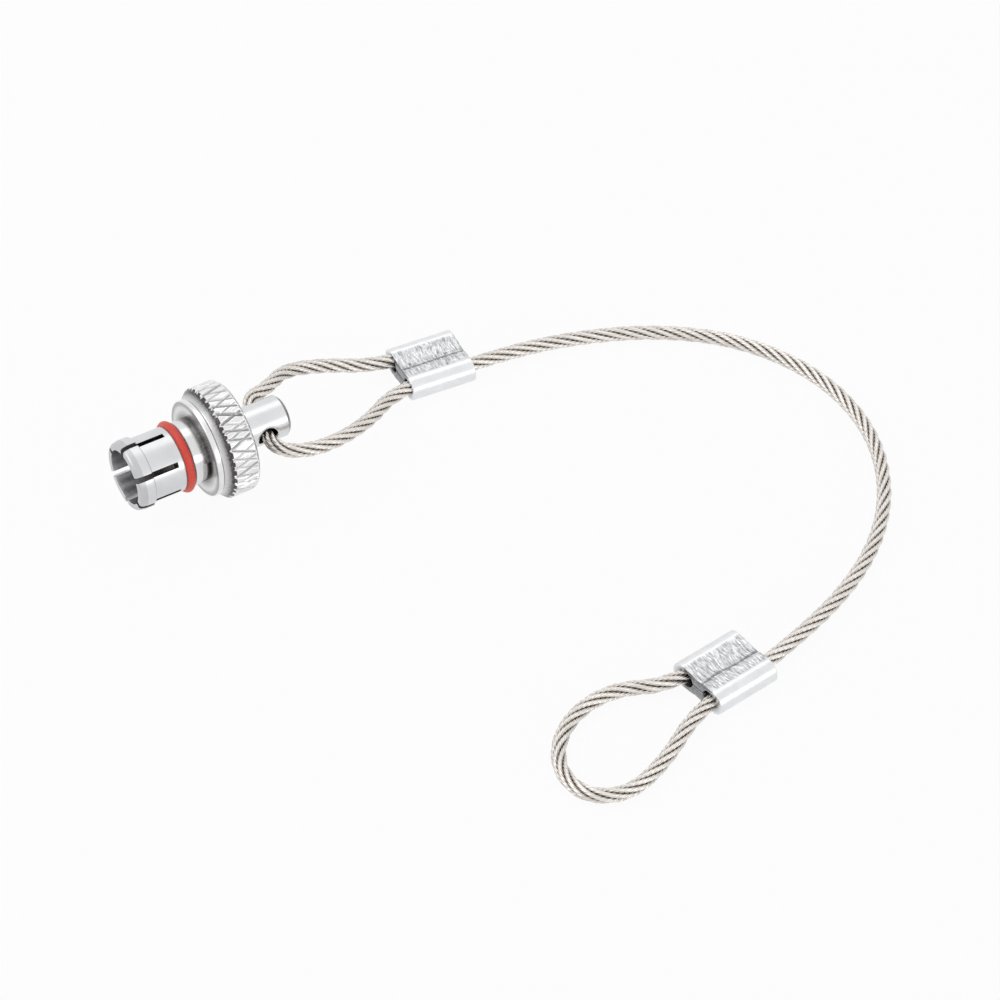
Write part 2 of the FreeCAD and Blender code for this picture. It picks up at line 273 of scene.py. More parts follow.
def shaded_colour(nodes, links, shader, mask, dull, bright, painted_shade_colour, scale=5.0):
    """Base colour in two tones, with painted shade darkening it in the recesses."""
    corners = nodes.new("ShaderNodeGroup")
    corners.node_tree = corner_group
    corners.inputs["Scale"].default_value = scale
    clean = two_tones(nodes, links, mask, dull, bright)
    links.new(two_tones(nodes, links, corners.outputs["Shade"], clean, painted_shade_colour),
              shader.inputs["Base Color"])


def bumps(nodes, links, shader, layers):
    """Bump nodes in a row, one for each (height, depth in millimetres)."""
    normal = None
    for height, depth in layers:
        bump = nodes.new("ShaderNodeBump")
        bump.inputs["Distance"].default_value = depth * MM
        links.new(height, bump.inputs["Height"])
        if normal is not None:
            links.new(normal, bump.inputs["Normal"])
        normal = bump.outputs["Normal"]
    links.new(normal, shader.inputs["Normal"])


marks_group = turning_marks()
corner_group = corner_shade()
plate_grain = 0.0005


# the last colour is painted shade, mixed into the recesses
def nickel(name, bright, dull, roughness, ring_depth, painted_shade_colour=(0.085, 0.072, 0.062)):
    """Satin nickel plate on a turned surface, with painted shade in its recesses; the rings' depth
    is in millimetres.
    """
    material, nodes, links, shader = blank_material(name)
    marks = nodes.new("ShaderNodeGroup")
    marks.node_tree = marks_group
    marks.inputs["Axis Height"].default_value = axis_height / MM
    shaded_colour(nodes, links, shader, spread(nodes, links, marks.outputs["Patches"], 0, 1),
                  dull, bright, painted_shade_colour)
    links.new(spread(nodes, links, marks.outputs["Rings"], roughness - 0.02, roughness + 0.03),
              shader.inputs["Roughness"])
    shader.inputs["Metallic"].default_value = 1
    bumps(nodes, links, shader, [(marks.outputs["Rings"], ring_depth),
                                 (marks.outputs["Grain"], plate_grain)])
    return material


# the land has more rings of points where its shade changes: beside the ring, at the
# relief's edge, and towards the flange
core = turned("core_turned", eased([
    (core_low.x, tail_radius, 0),
    (core_low.x, land_radius - groove_depth, 0),
    (groove_back, land_radius - groove_depth, 0),
    (groove_back, land_radius, land_ease),
    *((groove_back + past * MM, land_radius, 0) for past in (0.10, 0.13)),
    (grip_low.x - relief_width - 0.03 * MM, land_radius, 0),
    (grip_low.x - relief_width, land_radius, 0),
    (grip_low.x - relief_width * 0.97, land_radius, 0),
    *((grip_low.x - before * MM, land_radius, 0)
      for before in (0.72, 0.55, 0.42, 0.30, 0.20, 0.10, 0)),
    (grip_low.x, boss_radius, 0),
    (core_high.x, boss_radius, 0),
    (core_high.x, 0, 0),
    (core_low.x + tail_bore_depth, 0, 0),
    (core_low.x + tail_bore_depth, tail_radius, 0),
]), around=240)
for vert in core.data.vertices:
    turn = turn_of(vert.co) % math.tau
    on_land = from_axis(vert.co) > land_radius - land_ease
    behind = vert.co.x > grip_low.x - relief_width * 0.99
    if behind and on_land and relief_from < turn < relief_to:
        vert.co -= Vector((0, math.cos(turn), math.sin(turn))) * relief_depth


def core_recess(place):
    """Painted shade in the ring's groove and beside the ring, and painted shade and reflection
    darkening towards the flange.
    """
    radius = from_axis(place)
    if radius < land_radius - 1.2 * relief_depth:
        return 0.9
    if place.x < groove_back + 0.11 * MM:
        return 0.75
    in_relief = radius < land_radius - 0.4 * relief_depth
    # how far from the flange the painted shade and reflection reach
    shade_reach = (0.40 if in_relief else 0.80) * MM
    share = max(0, 1 - (grip_low.x - place.x) / shade_reach)
    return (0.22 if in_relief else 0) + 0.78 * min(1, 2.6 * share)


mark_recesses(core, core_recess)
even_shading(core)
# the dark brown given for the recesses is painted shade and a painted reflection of the flange
core.data.materials.append(
    nickel("nickel_on_core", (0.76, 0.76, 0.77), (0.69, 0.69, 0.70), 0.22, 0.0012,
           painted_shade_colour=(0.055, 0.040, 0.036)))
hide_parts("sealing_core")
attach(core, "plug")

# ---------------------------------------------------------------- spring collet
# A thin turned sleeve, closed at its back and slit into six spring fingers with a
# slitting saw. The snap bead round its mouth has a rolled lead-in. Its tail is
# pressed into the core.

collet_low, collet_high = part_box("spring_collet")
bead_radius = land_radius + 0.28 * MM
wall = 0.5 * MM
rim_radius = land_radius + 0.04 * MM
lead_length = 0.75 * MM
bead_length = 0.90 * MM
bead_back = collet_low.x + lead_length + bead_length
floor_station = core_low.x - 0.8 * MM
slot_end = floor_station + 0.2 * MM
slot_floor = land_radius - 1.5 * wall
slot_half = 0.275 * MM
slot_count = 6
slot_turn = math.radians(88)
finger_steps = 28
gap_steps = 4
cup_steps = 8
broken_edge = 0.03 * MM

# from the slots' closed end, round the rim, to the slots' floor inside the cup
slit_part = eased([
    (slot_end, land_radius, 0),
    (bead_back + 0.15 * MM, land_radius, 0),
    (bead_back + 0.05 * MM, land_radius, 0),
    (bead_back, land_radius, 0.08 * MM),
    (bead_back, bead_radius, 0.05 * MM),
    (collet_low.x + lead_length, bead_radius, 0.05 * MM),
    (collet_low.x + 0.16 * MM, rim_radius + 0.12 * MM, 0.22 * MM),
    (collet_low.x, rim_radius - 0.06 * MM, 0.06 * MM),
    (collet_low.x, land_radius - wall, 0.05 * MM),
    *((collet_low.x + (floor_station - collet_low.x) * step / cup_steps, land_radius - wall, 0)
      for step in range(1, cup_steps + 1)),
    (floor_station, slot_floor, 0),
])
whole_part = [
    Vector((floor_station, 0)),
    Vector((collet_high.x, 0)),
    Vector((collet_high.x, tail_radius)),
    Vector((core_low.x, tail_radius)),
    Vector((core_low.x, land_radius)),
    Vector((core_low.x - 0.09 * MM, land_radius)),
]


def slit_sleeve(name, slit, whole):
    """A turned piece whose slit part is cut through by parallel-sided slots.

    A slot's wall is two faces, one at the mouth and one behind the bead.
    """
    outline = slit + whole
    count, cut = len(outline), len(slit)
    verts = []
    faces = []
    columns = []

    def slot_side(radius):
        return math.asin(slot_half / max(radius, slot_floor))

    mouth = min(range(cut), key=lambda index: slit[index].x)
    outer_split = max(index for index in range(mouth) if slit[index].x > bead_back)
    inner_split = min(index for index in range(mouth, cut) if slit[index].x > bead_back)
    pitch = math.tau / slot_count
    for slot in range(slot_count):
        middle = slot_turn + pitch * slot
        for step in range(finger_steps + gap_steps):
            columns.append(len(verts))
            for station, radius in outline:
                side = slot_side(radius)
                if step <= finger_steps:
                    turn = middle + side + (pitch - 2 * side) * step / finger_steps
                else:
                    turn = middle + pitch - side + 2 * side * (step - finger_steps) / gap_steps
                verts.append(on_plug(station, radius, turn))
    for number, here in enumerate(columns):
        after = columns[(number + 1) % len(columns)]
        solid = number % (finger_steps + gap_steps) < finger_steps
        for index in range(0 if solid else cut - 1, count):
            ahead = (index + 1) % count
            faces.append((here + index, here + ahead, after + ahead, after + index))
    for slot in range(slot_count):
        last = slot * (finger_steps + gap_steps) + finger_steps
        across = [columns[(last + step) % len(columns)] for step in range(gap_steps + 1)]
        middle = slot_turn + pitch * (slot + 1)
        corners = []
        for side in (-slot_side(slot_floor), slot_side(slot_floor)):
            corners.append(len(verts))
            verts.append(on_plug(slot_end, slot_floor, middle + side))
        for start, corner in ((across[0], corners[0]), (across[-1], corners[1])):
            faces.append([start + index for index in range(outer_split, inner_split + 1)])
            behind = (*range(outer_split + 1), *range(inner_split, cut))
            faces.append([start + index for index in behind] + [corner])
        for index in (0, cut - 1):
            faces.append([start + index for start in across] + [corners[1], corners[0]])
    return new_piece(name, verts, faces)


collet = slit_sleeve("collet_sleeve", slit_part, whole_part)


def collet_recess(place):
    """Painted shade on the slots' sawn walls and down in the cup, and behind the bead."""
    radius = from_axis(place)
    away = math.remainder(turn_of(place) - slot_turn, math.tau / slot_count)
    in_slot = abs(math.sin(away)) * radius < slot_half * 1.02
    if in_slot and collet_low.x + 0.3 * MM < place.x < slot_end + 0.01 * MM:
        return 0.97 if place.x > bead_back else 0.40
    if radius < land_radius - 0.8 * wall:
        deep = (place.x - collet_low.x) / (floor_station - collet_low.x)
        return 0.95 * max(0, deep) ** 1.6
    if bead_back - 0.02 * MM < place.x < bead_back + 0.05 * MM:
        return 0.9
    if bead_back < place.x < bead_back + 0.16 * MM:
        return 0.35
    if place.x < collet_low.x + lead_length:
        return 0.22
    if place.x > core_low.x - 0.09 * MM:
        return 0.6
    return 0


mark_recesses(collet, collet_recess, of_faces=True)
broken = collet.modifiers.new("broken_edges", "BEVEL")
broken.width = broken_edge
broken.segments = 2
broken.limit_method = "ANGLE"
broken.angle_limit = math.radians(55)
even_shading(collet)
collet.data.materials.append(
    nickel("nickel_on_collet", (0.71, 0.715, 0.73), (0.64, 0.645, 0.66), 0.30, 0.0009))
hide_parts("spring_collet")
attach(collet, "plug")

# ---------------------------------------------------------------- sealing ring
# A moulded ring of red silicone rubber, sprung into the groove. It is a little
# shiny, and the mould's parting line stands a hair proud of it.

ring_section = (ring_high.x - ring_low.x) / 2
ring_middle = (ring_high.x + ring_low.x) / 2
ring_radius = (ring_high.z - ring_low.z) / 2 - ring_section
ring_steps = 40
flash_height = 0.012 * MM
rubber, nodes, links, shader = blank_material("red_silicone")
place = in_millimetres(nodes, links)
skin = speckle(nodes, links, place, 6, detail=4)
links.new(two_tones(nodes, links, spread(nodes, links, skin, 0, 1),
                    (0.74, 0.062, 0.040), (0.86, 0.088, 0.055)), shader.inputs["Base Color"])
links.new(spread(nodes, links, skin, 0.34, 0.46), shader.inputs["Roughness"])
bumps(nodes, links, shader, [(skin, 0.004)])

ring_outline = []
for step in range(ring_steps):
    turn = math.tau * step / ring_steps
    reach = ring_section - flash_height * (1 - abs(math.sin(turn)) ** 24)
    ring_outline.append(Vector((ring_middle + reach * math.cos(turn),
                                ring_radius + reach * math.sin(turn))))
seal = turned("seal_ring", ring_outline, around=160)
seal.data.materials.append(rubber)
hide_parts("o_ring")
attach(seal, "plug")

# ---------------------------------------------------------------- knurled grip
# Flange, cone and grip band turned in one piece. The band is rolled with two crossing
# sets of grooves, which leave long shallow diamonds and run out raggedly into the cone.

grip_radius = (grip_high.z - grip_low.z) / 2
flange_radius = grip_radius - 0.76 * MM
flange_back = grip_low.x + 0.55 * MM
cone_back = flange_back + 1.09 * MM
lip_height = 0.22 * MM
band_back = grip_high.x - lip_height
band_chamfer = 0.28 * MM
undercut = 0.10 * MM
swivel_bore = 2.18 * MM
lip_width = 0.35 * MM
cavity_radius = 2.85 * MM
cavity_back = core_high.x + 1.05 * MM
knurl_lines = 36
knurl_lean = math.tan(math.radians(19))
knurl_half_width = 0.22 * MM
knurl_depth = 0.21 * MM
knurl_roughness = 0.012 * MM
knurl_around = 860
knurl_step = 0.045 * MM


def knurl_cut(station, turn):
    """How deep the two crossing sets of grooves cut at this place."""
    deepest = 0
    pitch = math.tau * grip_radius / knurl_lines
    for number, lean in enumerate((knurl_lean, -knurl_lean)):
        along = turn * grip_radius + lean * (station - cone_back)
        nearest = round(along / pitch)
        for line in (nearest - 1, nearest, nearest + 1):
            seed = line % knurl_lines
            size = 1 + 0.5 * noise.noise(Vector((seed * 3.7, number * 11.3, 0.5)))
            shift = 0.30 * pitch * noise.noise(Vector((seed * 5.1, number * 7.9, 4.5)))
            swerve = 0.16 * noise.noise(Vector((seed * 2.3, number * 5.7, 8.5)))
            away = abs(along - line * pitch - shift - swerve * (station - cone_back))
            share = max(0, 1 - away / (knurl_half_width * size))
            deepest = max(deepest, knurl_depth * size * share)
    rough = noise.noise(Vector((station * 9000, turn * 50, 1.5)))
    return deepest + knurl_roughness * (1 + rough)


front_part = eased([
    (core_high.x, cavity_radius, 0),
    (core_high.x, boss_radius, 0),
    (grip_low.x, boss_radius, 0),
    *((grip_low.x, land_radius + out * MM, 0) for out in (0, 0.40, 0.80, 1.05, 1.30)),
    (grip_low.x, flange_radius, 0.20 * MM),
    (flange_back, flange_radius, 0.06 * MM),
    (flange_back + 0.06 * MM, flange_radius - undercut, 0),
    (flange_back + 0.18 * MM, flange_radius - undercut, 0),
    (cone_back, grip_radius, 0),
])[:-1]
back_part = eased([
    (band_back, grip_radius, 0),
    (band_back, swivel_bore + lip_width, 0.04 * MM),
    (band_back + lip_height, swivel_bore + lip_width * 0.7, 0.06 * MM),
    (band_back + lip_height, swivel_bore, 0.04 * MM),
    (cavity_back, swivel_bore, 0),
    (cavity_back, cavity_radius, 0),
])[1:]
cone_start = front_part[-1]
band_part = []
cone_steps = round((cone_back - cone_start.x) / knurl_step)
for step in range(1, cone_steps + 1):
    band_part.append(cone_start.lerp(Vector((cone_back, grip_radius)), step / cone_steps))
band_steps = round((band_back - cone_back) / knurl_step)
for step in range(1, band_steps + 1):
    station = cone_back + (band_back - cone_back) * step / band_steps
    drop = max(0, station - (band_back - band_chamfer))
    band_part.append(Vector((station, grip_radius - drop)))
grip = turned("grip_knurled", front_part + band_part + back_part, around=knurl_around)
knurl_shade = {}
for vert in grip.data.vertices:
    radius = from_axis(vert.co)
    if cone_start.x < vert.co.x <= band_back and radius > flange_radius - undercut:
        turn = turn_of(vert.co)
        cut = knurl_cut(vert.co.x, turn) - (grip_radius - radius)
        if cut > 0:
            vert.co = on_plug(vert.co.x, radius - cut, turn)
            # painted shade in the knurl's grooves, darker where they cut deeper
            knurl_shade[tuple(vert.co)] = 0.58 * min(1, cut / (0.90 * knurl_depth)) ** 2.6


def grip_recess(place):
    """Painted shade and reflection: dark in the knurl's grooves, at its foot on the cone, in the
    undercut and by the land.
    """
    if tuple(place) in knurl_shade:
        return knurl_shade[tuple(place)] * (0.5 if place.x < cone_back else 1)
    if place.x < grip_low.x + 0.02 * MM:
        from_land = (from_axis(place) - land_radius) / MM
        return 0.55 if from_land > 1.2 else max(0.16, 0.85 - 0.9 * from_land)
    if flange_back + 0.03 * MM < place.x < cone_start.x:
        return 0.85
    if cone_start.x <= place.x < cone_back:
        share = (place.x - cone_start.x) / (cone_back - cone_start.x)
        return 0.22 + 0.78 * min(1, share / 0.62) ** 1.6
    if band_back - 0.7 * band_chamfer < place.x < band_back + 0.5 * lip_height:
        return 0.6
    return 0


mark_recesses(grip, grip_recess)
even_shading(grip, crease=50)
grip.data.materials.append(
    nickel("nickel_on_grip", (0.83, 0.83, 0.84), (0.75, 0.75, 0.76), 0.24, 0.0006,
           painted_shade_colour=(0.075, 0.068, 0.066)))
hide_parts("knurled_grip")
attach(grip, "plug")

# ---------------------------------------------------------------- swivel washer
# A thin disc of low-friction white plastic, shut in between the core and the post's
# head. It is punched from sheet, so it is plain and slightly waxy.

washer_plastic, nodes, links, shader = blank_material("white_washer_plastic")
place = in_millimetres(nodes, links)
cloud = speckle(nodes, links, place, 3, detail=3)
links.new(two_tones(nodes, links, spread(nodes, links, cloud, 0, 1),
                    (0.82, 0.81, 0.78), (0.90, 0.90, 0.88)), shader.inputs["Base Color"])
links.new(spread(nodes, links, cloud, 0.42, 0.55), shader.inputs["Roughness"])
bumps(nodes, links, shader, [(cloud, 0.002)])
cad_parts["swivel_washer"].data.materials.clear()
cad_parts["swivel_washer"].data.materials.append(washer_plastic)

# ---------------------------------------------------------------- swivelling post
# A headed pin turned from bar, free to turn in the grip. The rope's cross-hole is
# drilled through it at a slight tilt, and both mouths are rounded and polished.

post_low, post_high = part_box("lanyard_post")
post_radius = 2.13 * MM
head_radius = (post_high.z - post_low.z) / 2
head_back = post_low.x + 0.75 * MM
edge_ease = 0.05 * MM
end_roll = 0.10 * MM
post_chamfer = 0.36 * MM
hole_station = post_high.x - 2.60 * MM
hole_radius = 1.05 * MM
mouth_ease = 0.38 * MM
post_tilt = math.radians(12)
patch_half = 1.75 * MM
patch_steps = 20
between_steps = 14
patch_rings = 6
mouth_steps = 6
bore_steps = 4


def post_mesh():
    """The post with its cross-hole: a turned outline, with a round patch at each mouth."""
    verts = []
    faces = []
    mouths = (post_tilt, post_tilt + math.pi)
    half_angle = math.asin(patch_half / post_radius)
    turns = []
    for mouth in mouths:
        for step in range(patch_steps):
            side = -patch_half + 2 * patch_half * step / patch_steps
            turns.append(mouth + math.asin(side / post_radius))
        for step in range(between_steps):
            turns.append(mouth + half_angle + (math.pi - 2 * half_angle) * step / between_steps)
    patch_front, patch_back = hole_station - patch_half, hole_station + patch_half
    before = eased([
        (post_low.x, head_radius, edge_ease),
        (head_back, head_radius, edge_ease),
        (head_back, post_radius, 0),
    ])
    after = eased([
        (patch_back, post_radius, 0),
        (post_high.x - post_chamfer, post_radius, end_roll),
        (post_high.x, post_radius - post_chamfer, end_roll),
        (post_high.x, 0, 0),
    ])[1:]
    outline = [Vector((post_low.x, 0))] + before
    first_row = len(outline)
    outline += [Vector((patch_front + 2 * patch_half * step / patch_steps, post_radius))
                for step in range(patch_steps + 1)]
    last_row = len(outline) - 1
    outline += after
    count = len(outline)
    for turn in turns:
        verts += [on_plug(station, radius, turn) for station, radius in outline]
    pitch = patch_steps + between_steps
    for number in range(len(turns)):
        this, following = number * count, (number + 1) % len(turns) * count
        in_patch = number % pitch < patch_steps
        for index in range(count - 1):
            if in_patch and first_row <= index < last_row:
                continue
            faces.append((this + index, this + index + 1, following + index + 1, following + index))

    def on_bore(across, side, height, mouth):
        """A point beside the cross-hole's own axis: station, sideways, out along the hole."""
        out = Vector((0, math.cos(mouth), math.sin(mouth)))
        sideways = Vector((0, -math.sin(mouth), math.cos(mouth)))
        return Vector((across, 0, axis_height)) + sideways * side + out * height

    bore_rings = []
    for number, mouth in enumerate(mouths):
        border = []
        first = number * pitch
        for step in range(patch_steps):
            border.append(((first + step) * count + first_row, (-1, -1 + 2 * step / patch_steps)))
        for step in range(patch_steps):
            border.append(((first + patch_steps) % len(turns) * count + first_row + step,
                           (-1 + 2 * step / patch_steps, 1)))
        for step in range(patch_steps):
            border.append(((first + patch_steps - step) % len(turns) * count + last_row,
                           (1, 1 - 2 * step / patch_steps)))
        for step in range(patch_steps):
            border.append((first * count + last_row - step, (1 - 2 * step / patch_steps, -1)))
        outer = [index for index, _ in border]
        rim = hole_radius + mouth_ease
        rings = []
        for ring in range(1, patch_rings + 1):
            share = ring / patch_rings
            start = len(verts)
            for _, (across, side) in border:
                spoke = Vector((across, side))
                place = (spoke * patch_half).lerp(spoke.normalized() * rim, share)
                height = math.sqrt(post_radius ** 2 - place.y ** 2)
                verts.append(on_bore(hole_station + place.x, place.y, height, mouth))
            rings.append(start)
        for ring in range(1, mouth_steps + bore_steps + 1):
            start = len(verts)
            for _, (across, side) in border:
                spoke = Vector((across, side)).normalized()
                at_rim = math.sqrt(post_radius ** 2 - (spoke.y * rim) ** 2)
                at_wall = math.sqrt(post_radius ** 2 - (spoke.y * hole_radius) ** 2)
                if ring <= mouth_steps:
                    share = ring / mouth_steps
                    corner = (1 - share) ** 2, 2 * share * (1 - share), share ** 2
                    away = corner[0] * rim + (corner[1] + corner[2]) * hole_radius
                    height = (corner[0] * at_rim + corner[1] * at_wall
                              + corner[2] * (at_wall - mouth_ease))
                else:
                    share = (ring - mouth_steps) / bore_steps
                    away = hole_radius
                    height = (at_wall - mouth_ease) * (1 - share)
                verts.append(on_bore(hole_station + spoke.x * away, spoke.y * away, height, mouth))
            rings.append(start)
        around = len(border)
        previous = outer
        for start in rings:
            ring = [start + index for index in range(around)]
            for index in range(around):
                after_it = (index + 1) % around
                faces.append((previous[index], previous[after_it], ring[after_it], ring[index]))
            previous = ring
        bore_rings.append(previous)
    return verts, faces


post = new_piece("post_turned", *post_mesh())


def post_recess(place):
    """Painted shade down the cross-hole, and painted shade on the chamfer."""
    if place.x > post_high.x - post_chamfer * 1.02:
        return 0.72
    beside_hole = abs(place.x - hole_station) < hole_radius * 1.02
    if beside_hole and from_axis(place) < post_radius - 0.35 * MM:
        return 0.9
    return 0


mark_recesses(post, post_recess)
even_shading(post, crease=50)
post.data.materials.append(
    nickel("nickel_on_post", (0.74, 0.745, 0.755), (0.68, 0.685, 0.695), 0.27, 0.0004))
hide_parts("lanyard_post")
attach(post, "post")

# ---------------------------------------------------------------- wire rope
# One length of 1.5 mm stainless rope, six strands laid right-handed round a seventh,
# each of six drawn wires round a core wire. It goes through the post and back, then
# round to the eye, and is stiff enough to keep its curve.

rope_diameter = 1.5 * MM
strand_count = 6
wire_count = 6
rope_lay = 10.8 * MM
wire_lay = 3.6 * MM
rope_step = 0.31 * MM
wire_leans = (-30, -16, 0, 16)
wire_fill = 0.25
valley_from = 0.75 * MM
valley_depth = 0.25 * MM
rope_route = [
    (30.7, 4.05, 1.35), (22.6, 5.2, 1.6), (17.2, 6.6, 3.2), (12.4, 6.4, 4.9), (9.3, 3.9, 6.0),
    (6.15, 3.0, 6.39), (6.15, -0.79, 5.585), (6.15, -3.4, 5.03), (8.4, -4.8, 4.7),
    (12.3, -4.5, 3.9), (17.3, -2.4, 2.7), (22.1, 1.1, 1.55), (32.4, 0.85, 1.3),
    (41.1, -0.4, 1.0), (50.0, -4.0, 0.85), (57.0, -10.1, 0.82), (60.9, -19.1, 0.8),
    (60.3, -29.0, 0.82), (55.2, -38.2, 0.85), (46.7, -44.9, 1.0), (34.4, -49.4, 1.35),
    (24.5, -51.1, 1.3), (18.6, -54.8, 1.0), (13.6, -56.5, 0.85), (9.9, -54.6, 0.8),
    (9.5, -50.6, 0.8), (11.7, -47.1, 0.82), (15.4, -45.0, 0.9), (19.6, -44.9, 1.1),
    (24.0, -47.4, 1.35), (32.2, -46.65, 1.35),
]


def smooth_line(name, points):
    """Closely spaced points along the NURBS spline with these control points, in millimetres."""
    curve = bpy.data.curves.new(name, "CURVE")
    curve.dimensions = "3D"
    curve.resolution_u = 64
    spline = curve.splines.new("NURBS")
    spline.points.add(len(points) - 1)
    for point, place in zip(spline.points, points):
        point.co = (*(Vector(place) * MM), 1)
    spline.order_u = 3
    spline.use_endpoint_u = True
    holder = bpy.data.objects.new(name, curve)
    mesh = bpy.data.meshes.new_from_object(holder)
    line = [vert.co.copy() for vert in mesh.vertices]
    bpy.data.meshes.remove(mesh)
    bpy.data.objects.remove(holder)
    return line


def evenly(line, step):
    """The same line with points an even step apart."""
    lengths = [(after - here).length for here, after in zip(line, line[1:])]
    count = round(sum(lengths) / step)
    wanted = sum(lengths) / count
    points = [line[0]]
    passed = 0
    for here, after, length in zip(line, line[1:], lengths):
        while len(points) < count and passed + length >= wanted * len(points):
            points.append(here.lerp(after, (wanted * len(points) - passed) / length))
        passed += length
    points.append(line[-1])
    return points


def untwisted_frames(line):
    """Tangent, side and rise at each point of a line, carried along it without twisting."""
    frames = []
    side = None
    for index, here in enumerate(line):
        tangent = (line[min(index + 1, len(line) - 1)] - line[max(index - 1, 0)]).normalized()
        if side is None:
            side = tangent.cross(Vector((0, 0, 1)))
        side = (side - tangent * side.dot(tangent)).normalized()
        frames.append((here, tangent, side, tangent.cross(side)))
    return frames


def stranded_rope(name, line):
    """Strands that wind round the line, each with its wires showing as rounded ridges."""
    strand_radius = rope_diameter / 6
    wire_radius = strand_radius / 3
    ring = []
    for wire in range(wire_count):
        for lean in wire_leans:
            off = math.radians(lean)
            crown = 2 * wire_radius * math.cos(off)
            crown += math.sqrt(max(0, wire_radius ** 2 - (2 * wire_radius * math.sin(off)) ** 2))
            worn = crown + wire_fill * (strand_radius - crown)
            ring.append((math.tau * wire / wire_count + off, worn))
    frames = untwisted_frames(line)
    length = sum((after - here).length for here, after in zip(line, line[1:]))
    step = length / (len(line) - 1)
    verts = []
    faces = []

    def tube(section):
        """One strand: section(index) gives its ring of points at that point of the line."""
        first = len(verts)
        count = 0
        for index in range(len(line)):
            places = section(index)
            count = len(places)
            verts.extend(places)
        for index in range(len(line) - 1):
            this = first + index * count
            for corner in range(count):
                ahead = (corner + 1) % count
                faces.append((this + corner, this + ahead, this + count + ahead,
                              this + count + corner))
        faces.append(tuple(first + corner for corner in range(count)))
        last = first + (len(line) - 1) * count
        faces.append(tuple(last + corner for corner in reversed(range(count))))

    for strand in range(strand_count):
        def section(index, strand=strand):
            here, tangent, side, rise = frames[index]
            wound = math.tau * (strand / strand_count + index * step / rope_lay)
            outward = side * math.cos(wound) + rise * math.sin(wound)
            around = tangent.cross(outward)
            laid = -math.tau * index * step * (1 / wire_lay + 1 / rope_lay)
            middle = here + outward * 2 * strand_radius
            return [middle + (outward * math.cos(turn + laid) + around * math.sin(turn + laid))
                    * crown for turn, crown in ring]
        tube(section)

    def heart(index):
        here, _, side, rise = frames[index]
        return [here + (side * math.cos(math.tau * corner / 6)
                        + rise * math.sin(math.tau * corner / 6)) * strand_radius
                for corner in range(6)]
    tube(heart)
    mesh = bpy.data.meshes.new(name)
    mesh.from_pydata(verts, [], faces)
    mesh.shade_smooth()
    # painted shade in the valleys between the strands, darker the nearer a point lies to the rope's
    # middle line
    valleys = mesh.attributes.new("recess", "FLOAT", "POINT")
    per_line = len(ring)
    for index, place in enumerate(verts):
        station = index // per_line % len(line) if index < strand_count * per_line * len(line) else 0
        away = (place - line[station]).length
        valleys.data[index].value = max(0, min(1, (valley_from - away) / valley_depth)) ** 0.75
    piece = bpy.data.objects.new(name, mesh)
    bpy.context.scene.collection.objects.link(piece)
    return piece


rope_line = evenly(smooth_line("rope_route", rope_route), rope_step)
rope = stranded_rope("rope_stranded", rope_line)
steel, nodes, links, shader = blank_material("drawn_stainless_wire")
place = in_millimetres(nodes, links)
soot = speckle(nodes, links, place, 0.9, detail=3)
drawn = speckle(nodes, links, place, 7, detail=2)
# the last colour is the painted shade in the valleys
shaded_colour(nodes, links, shader, spread(nodes, links, soot, 0, 1),
              (0.78, 0.75, 0.72), (0.92, 0.90, 0.88), (0.42, 0.37, 0.32), scale=2.0)
links.new(spread(nodes, links, drawn, 0.20, 0.30), shader.inputs["Roughness"])
shader.inputs["Metallic"].default_value = 1
bumps(nodes, links, shader, [(drawn, 0.0006)])
rope.data.materials.append(steel)
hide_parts("wire_rope")
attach(rope, "lanyard")

# ---------------------------------------------------------------- ferrules
# Oval aluminium sleeves pressed flat over two legs of the rope. The press leaves
# rippled flats, smooth round sides, and a channel pinched in between the legs.

ferrule_length = 7.0 * MM
ferrule_width = 7.0 * MM
ferrule_height = 2.7 * MM
end_ease = 0.12 * MM
ferrules = {
    "ferrule_by_plug": ("ferrule_plug_end", (27.35, 2.85), -5.5, (1.68, -1.88), 3),
    "ferrule_by_eye": ("ferrule_loop_end", (29.2, -48.55), 7.5, (1.55, -1.60), 8),
}
sleeve_around = 260
sleeve_along = 160
channel_ease = 0.10 * MM
leg_radius = rope_diameter / 2 + 0.06 * MM
pinch_half = 0.07 * MM
press_dip = 0.17 * MM
press_half = 1.3 * MM
ripple_depth = 0.10 * MM


def stadium(share, inset):
    """A point of the sleeve's round-ended section, and how far it is onto the flats."""
    radius = ferrule_height / 2
    flat = ferrule_width - ferrule_height
    arc = math.pi * radius
    along = share * 2 * (flat + arc)
    shrunk = radius - inset
    if along < flat:
        return flat / 2 - along, shrunk, 1
    along -= flat
    if along < arc:
        turn = math.pi / 2 + along / radius
        return -flat / 2 + shrunk * math.cos(turn), shrunk * math.sin(turn), 0
    along -= arc
    if along < flat:
        return -flat / 2 + along, -shrunk, 1
    along -= flat
    turn = -math.pi / 2 + along / radius
    return flat / 2 + shrunk * math.cos(turn), shrunk * math.sin(turn), 0


def channel(share, legs, grow):
    """A point of the channel's section: two round legs and the pinched web between them."""
    side, rise, _ = stadium(share, 0)
    middle, half_span = (legs[0] + legs[1]) / 2 * MM, (legs[0] - legs[1]) / 2 * MM
    radius = leg_radius + grow
    flat = ferrule_width - ferrule_height
    if abs(side) < flat / 2:
        place = side / (flat / 2) * half_span
        bulge = math.sqrt(max(0, radius ** 2 - (half_span - abs(place)) ** 2))
        height = max(pinch_half + grow, bulge)
        return middle + place, math.copysign(height, rise)
    turn = math.atan2(rise, abs(side) - flat / 2)
    return (middle + math.copysign(half_span + radius * math.cos(turn), side),
            radius * math.sin(turn))


